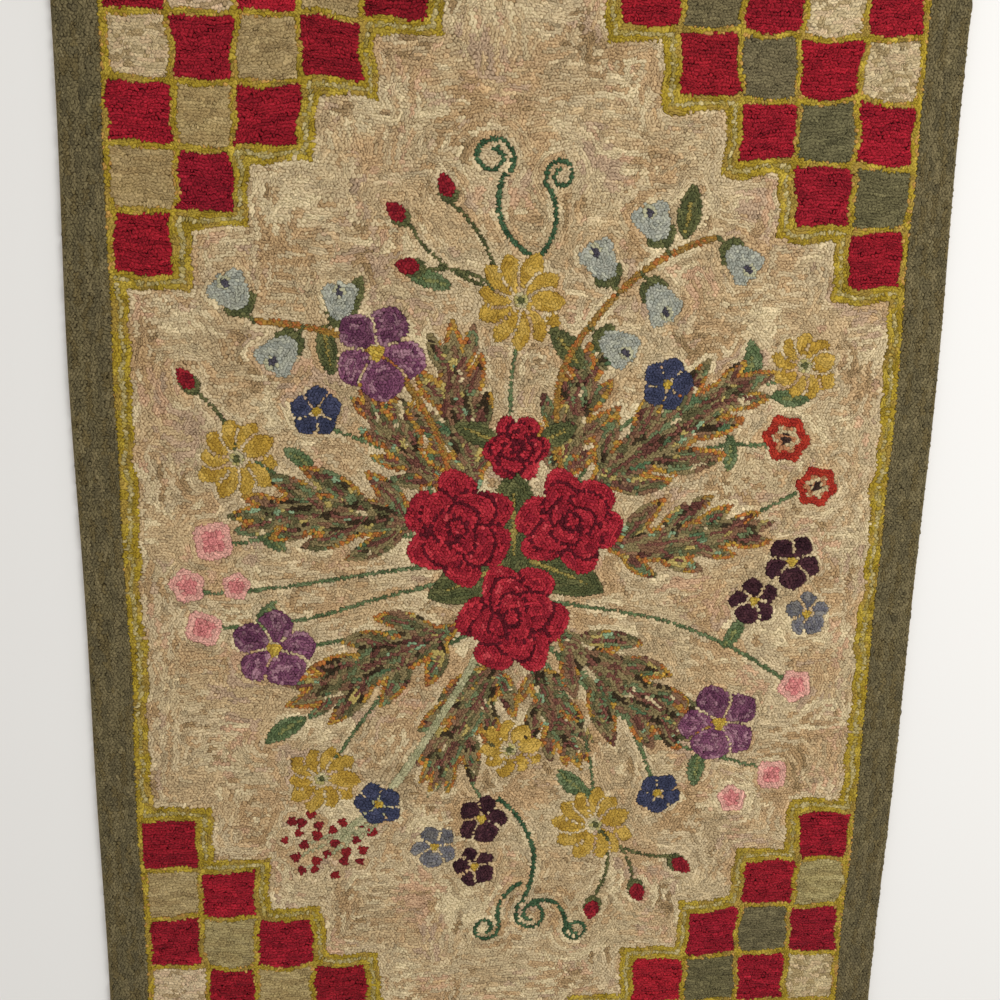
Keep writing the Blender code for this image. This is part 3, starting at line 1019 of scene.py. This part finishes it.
# The feathered leaves: ten sprays from behind the roses. Each has pairs of lobes along its spine, in
# streaks of olive, plum, black and turquoise, plum ribs, and an edge row of mixed gold and rust.
FEATHERED = (
    # x, y, heading, length, bend
    (-0.036, 0.084, 1.92, 0.192, -0.30),
    (0.085, 0.080, 0.74, 0.246, -0.30),
    (0.104, 0.020, 0.00, 0.200, 0.30),
    (0.056, -0.080, -0.80, 0.236, 0.28),
    (-0.016, -0.110, -1.86, 0.190, -0.28),
    (-0.060, -0.070, -2.54, 0.222, -0.28),
    (-0.098, 0.040, 2.94, 0.220, 0.30),
    (0.044, 0.086, 1.20, 0.170, 0.30),
    (-0.078, 0.082, 2.36, 0.150, -0.25),
    (0.030, -0.116, -1.30, 0.150, 0.25),
)
LEAF_RAGS = (
    (134, 119, 82), (128, 96, 72), (57, 45, 30), (134, 158, 124), (108, 120, 84),
    (98, 94, 62), (176, 156, 92), (96, 58, 50), (200, 180, 140), (82, 106, 74),
)
LEAF_USUAL = (1.0, 0.7, 0.1, -0.5, 0.1, 0.6, -0.4, -0.1, -0.5, -0.5)
LEAF_EDGES = ((178, 140, 60), (174, 108, 54), (156, 122, 58), (142, 90, 52))
LEAF_RIB = (116, 74, 62)
LEAF_ROW = 0.0044
LEAF_EDGE = 0.0042
LOBES = (
    # share of the spine, angle off it, length as a share of the leaf's
    (0.10, 1.00, 0.34),
    (0.29, 0.88, 0.40),
    (0.49, 0.76, 0.36),
    (0.69, 0.62, 0.27),
)

piece_number = 10
for number, (leaf_x, leaf_y, heading, length, bend) in enumerate(FEATHERED):
    near, x, y = around(leaf_x, leaf_y, length + 0.02)
    blades = [(leaf_x, leaf_y, heading, length, 0.22 * length, bend)]
    for share, angle, size in LOBES:
        turned = bend * share
        chord = length * share * math.sin(turned / 2) / (turned / 2)
        at_x = leaf_x + chord * math.cos(heading + turned / 2)
        at_y = leaf_y + chord * math.sin(heading + turned / 2)
        for side in (-1, 1):
            reach = size * length * rng.uniform(0.85, 1.12)
            way = heading + turned + side * (angle + rng.uniform(-0.08, 0.08))
            blades.append((at_x, at_y, way, reach, 0.29 * reach + 0.003, -0.5 * side))
    leaf = np.full(len(near), -1.0)
    rib = np.full(len(near), -1.0)
    leaf_row = np.zeros(len(near), int)
    for k, (at_x, at_y, way, reach, width, bow) in enumerate(blades):
        inside = petal(x, y, (at_x, at_y), way, reach, width, 0.85, bow)
        leaf_row = np.where(inside > leaf, np.floor(inside / LEAF_ROW).astype(int) + 30 * k, leaf_row)
        leaf = np.maximum(leaf, inside)
        rib = np.maximum(rib, petal(x, y, (at_x, at_y), way, 0.8 * reach, 0.0040, 1.0, bow))
    edged = (leaf < LEAF_EDGE) & (drift(x, y, 0.045, 181 + number) > -0.25)
    colour = rags(x, y, leaf_row, LEAF_RAGS, LEAF_USUAL, 0.05, 191 + 12 * number, 0.15)
    colour = np.where((rib > 0)[:, None] & (drift(x, y, 0.03, 187) > -0.6)[:, None], dyed(LEAF_RIB), colour)
    edges = rags(x, y, 0, LEAF_EDGES, (0.3, 0.2, 0.0, -0.2), 0.008, 305 + 5 * number, 0.2)
    hook(near, leaf, np.where(edged[:, None], edges, colour), np.where(edged, 999, leaf_row))
pile_piece("feathered_leaf_pile", piece_number, rag_material("leaf_wool"))

# The tendrils and stems: single rows of green rag that lead from the roses out to each flower or end in
# curls, and plain leaves with a paler vein that stand beside them.
CURLS = (
    # x, y, radius, turns, heading
    (-0.030, 0.440, 0.022, 1.4, -1.0),
    (0.040, 0.420, 0.018, -1.3, 3.6),
    (0.036, -0.440, 0.021, 1.4, 2.2),
    (-0.020, -0.456, 0.017, -1.2, 0.2),
    (0.092, -0.462, 0.015, 1.3, 3.0),
)
TENDRILS = (
    # from, to, bow
    ((0.016, 0.336), (-0.019, 0.422), 0.2),
    ((0.022, 0.336), (0.024, 0.412), -0.2),
    ((-0.006, -0.290), (0.024, -0.424), 0.18),
    ((0.020, -0.400), (-0.004, -0.452), -0.2),
    ((0.036, -0.424), (0.080, -0.460), 0.3),
)
STEMS = (
    # from, to, bow
    ((-0.040, 0.020), (-0.318, 0.020), -0.04),
    ((-0.040, 0.010), (-0.346, -0.034), 0.03),
    ((-0.040, 0.000), (-0.332, -0.074), 0.06),
    ((0.060, 0.040), (0.292, 0.134), 0.12),
    ((0.060, 0.040), (0.326, 0.086), -0.10),
    ((0.060, 0.050), (0.300, 0.206), 0.10),
    ((0.040, -0.050), (0.322, -0.140), 0.08),
    ((0.030, -0.070), (0.300, -0.250), -0.12),
    ((0.010, -0.080), (0.104, -0.300), 0.10),
    ((0.010, -0.080), (0.182, -0.276), 0.10),
    ((-0.060, 0.050), (-0.142, 0.200), 0.10),
    ((0.020, 0.060), (0.002, 0.250), 0.08),
    ((-0.030, -0.060), (-0.240, -0.096), 0.03),
    ((-0.030, -0.070), (-0.196, -0.240), -0.08),
    ((0.060, 0.060), (0.160, 0.190), 0.08),
    ((-0.060, 0.050), (-0.280, 0.112), 0.08),
    ((-0.020, -0.080), (-0.020, -0.300), -0.16),
    ((-0.050, 0.060), (-0.206, 0.150), -0.08),
)
LOOSE_LEAVES = (
    # x, y, heading, length
    (0.258, 0.196, 1.4, 0.056),
    (0.284, 0.190, -0.2, 0.046),
    (-0.250, 0.010, 2.3, 0.046),
    (-0.262, -0.044, -2.3, 0.044),
    (-0.232, -0.182, -2.7, 0.058),
    (0.058, -0.252, -0.9, 0.060),
    (0.252, -0.104, 0.9, 0.044),
    (0.232, -0.232, -1.9, 0.050),
    (-0.072, 0.300, 2.7, 0.048),
    (-0.216, 0.102, 2.3, 0.044),
    (0.240, 0.104, 1.3, 0.042),
)
EMERALDS = ((62, 88, 60), (54, 80, 54), (72, 98, 68))
STEM_GREENS = ((96, 112, 74), (84, 98, 64), (108, 120, 84))
STEM_VEIN = (128, 130, 80)

piece_number = 11
hook_bowed(TENDRILS, 0.0026, EMERALDS, 201)
for number, (curl_x, curl_y, radius, turns, heading) in enumerate(CURLS):
    hook_line(curl((curl_x, curl_y), radius, turns, heading), 0.0024, EMERALDS, 211 + number)
hook_leaves(LOOSE_LEAVES, 0.38, 0.4, STEM_GREENS, STEM_VEIN, 221)
hook_bowed(STEMS, 0.0022, STEM_GREENS, 233)
pile_piece("tendril_pile", piece_number, rag_material("emerald_wool"))

# The ground: what is left bare of the field. Its rows of mixed pale rag follow the outlines of what is
# hooked already, a light row first, and farther off they run level or upright, patch by patch. It is
# one surface, cut level into four pieces of like size.
GROUND = (
    (208, 189, 151), (197, 177, 141), (190, 165, 126), (187, 157, 117), (192, 172, 135),
    (178, 156, 120), (175, 145, 105), (153, 127, 90), (182, 156, 128), (196, 161, 128),
)
USUAL = (0.4, 0.9, 0.8, 0.5, 0.4, 0.3, 0.2, -0.6, -0.2, -0.2)
FOLLOW = 0.026

piece_number = 12
upright = drift(crown_x, crown_y, 0.12, 241) > 0.85
bowed_x = crown_x + 0.003 * drift(crown_x, crown_y, 0.10, 242)
bowed_y = crown_y + 0.003 * drift(crown_x, crown_y, 0.10, 243)
straight = np.where(upright, bowed_x + 5, bowed_y)
follows = gap < FOLLOW + 0.012 * drift(crown_x, crown_y, 0.08, 244)
ground_row = np.floor(np.where(follows, gap, straight) / ROW).astype(int) + np.where(follows, 400, 0)
patch = [1.1 * drift(crown_x, crown_y, 0.11, 251 + k) for k in range(len(GROUND))]
usual = np.stack(patch, -1) + USUAL
usual[gap < ROW] += (0.4, 0.3, 0, 0.2, 0, 0, -0.5, -0.7, -0.3, -1)
ground_rags = rags(crown_x, crown_y, ground_row, GROUND, usual, 0.045, 261, 0.5)
hook(everywhere, in_field, ground_rags, ground_row, np.where(follows, gap, straight))
ground = np.flatnonzero(piece_of == piece_number)
piece_of[ground] += np.digitize(crown_y[ground], np.quantile(crown_y[ground], [0.25, 0.5, 0.75]))
for number, where in enumerate(("near", "lower", "upper", "far"), start=piece_number):
    ground_rag = rag_material(f"{where}_ground_rag", 0.64, 0.25, 0.36, (1.1, 0.75))
    pile_piece(f"{where}_ground_pile", number, ground_rag, 0.10, 0.7)

# The back: between the hems each row shows as flat stitches of its rag, so the pattern can be seen
# there too. The hem is bare jute. With the pile hooked, the cloth is one sheet laid on the floor.
JUTE = (166, 140, 98)

drawn_x, drawn_y = cloth_drawn[cloth_faces, :2].mean(1).T
lane = np.clip(np.round(drawn_y / LANE + (lanes - 1) / 2), 0, lanes - 1).astype(int)
place = np.clip(np.round(drawn_x / FOLD + (files - 0.5) / 2 - 0.5 * (lane % 2)), 0, files - 1).astype(int)
stitch = np.ones((len(cloth_faces), 4))
stitch[:, :3] = dye[lane * files + place]
on_hem = np.arange(len(cloth_faces)) < (len(HEM_STATIONS) - 1) * 2 * (CLOTH_CELLS_X + CLOTH_CELLS_Y)
unhooked = on_hem | (stitch[:, :3].sum(1) == 0)
stitch[unhooked, :3] = dyed(JUTE)
keep(cloth, "stitch", "FLOAT_COLOR", "FACE", stitch)
flat_uv(cloth.data, cloth_drawn[:, 2:], cloth_faces)

# The floor, the light and the camera: a plain pale floor, one large soft lamp from the right under an
# even sky, and the lens close above the rug, leaning a little toward its near end.
floor_points = [(-4, -4, 0), (4, -4, 0), (4, 4, 0), (-4, 4, 0)]
floor_mesh = bpy.data.meshes.new("floor")
floor_mesh.from_pydata(floor_points, [], [(0, 1, 2, 3)])
floor = bpy.data.objects.new("floor", floor_mesh)
bpy.context.scene.collection.objects.link(floor)
floor_paint, _, floor_shader = matt("pale_floor", 0.5, 0.8)
floor_shader.inputs["Base Color"].default_value = (0.72, 0.71, 0.69, 1)
floor_mesh.materials.append(floor_paint)


def soft_box(name, place, size, power):
    """A square area light turned to face the rug's middle."""
    light = bpy.data.lights.new(name, "AREA")
    light.shape = "SQUARE"
    light.size = size
    light.energy = power
    lamp = bpy.data.objects.new(name, light)
    lamp.location = place
    tilt = math.atan2(math.hypot(place[0], place[1]), place[2])
    lamp.rotation_euler = (tilt, 0, math.atan2(place[1], place[0]) + math.pi / 2)
    bpy.context.scene.collection.objects.link(lamp)


soft_box("window", (1.6, 0.8, 2.0), 1.4, 42)
world = bpy.data.worlds.new("studio")
world.use_nodes = True
world.node_tree.nodes["Background"].inputs["Color"].default_value = (1.0, 0.98, 0.95, 1)
world.node_tree.nodes["Background"].inputs["Strength"].default_value = 0.75
bpy.context.scene.world = world
bpy.context.scene.view_settings.view_transform = "Standard"

lens = bpy.data.cameras.new("camera")
lens.lens = 40.9
lens.sensor_width = 36
camera = bpy.data.objects.new("camera", lens)
camera.location = (-0.110, 0.3416, 1.2367)
camera.rotation_euler = (-0.2165, -0.0732, 0.0219)
bpy.context.scene.collection.objects.link(camera)
bpy.context.scene.camera = camera
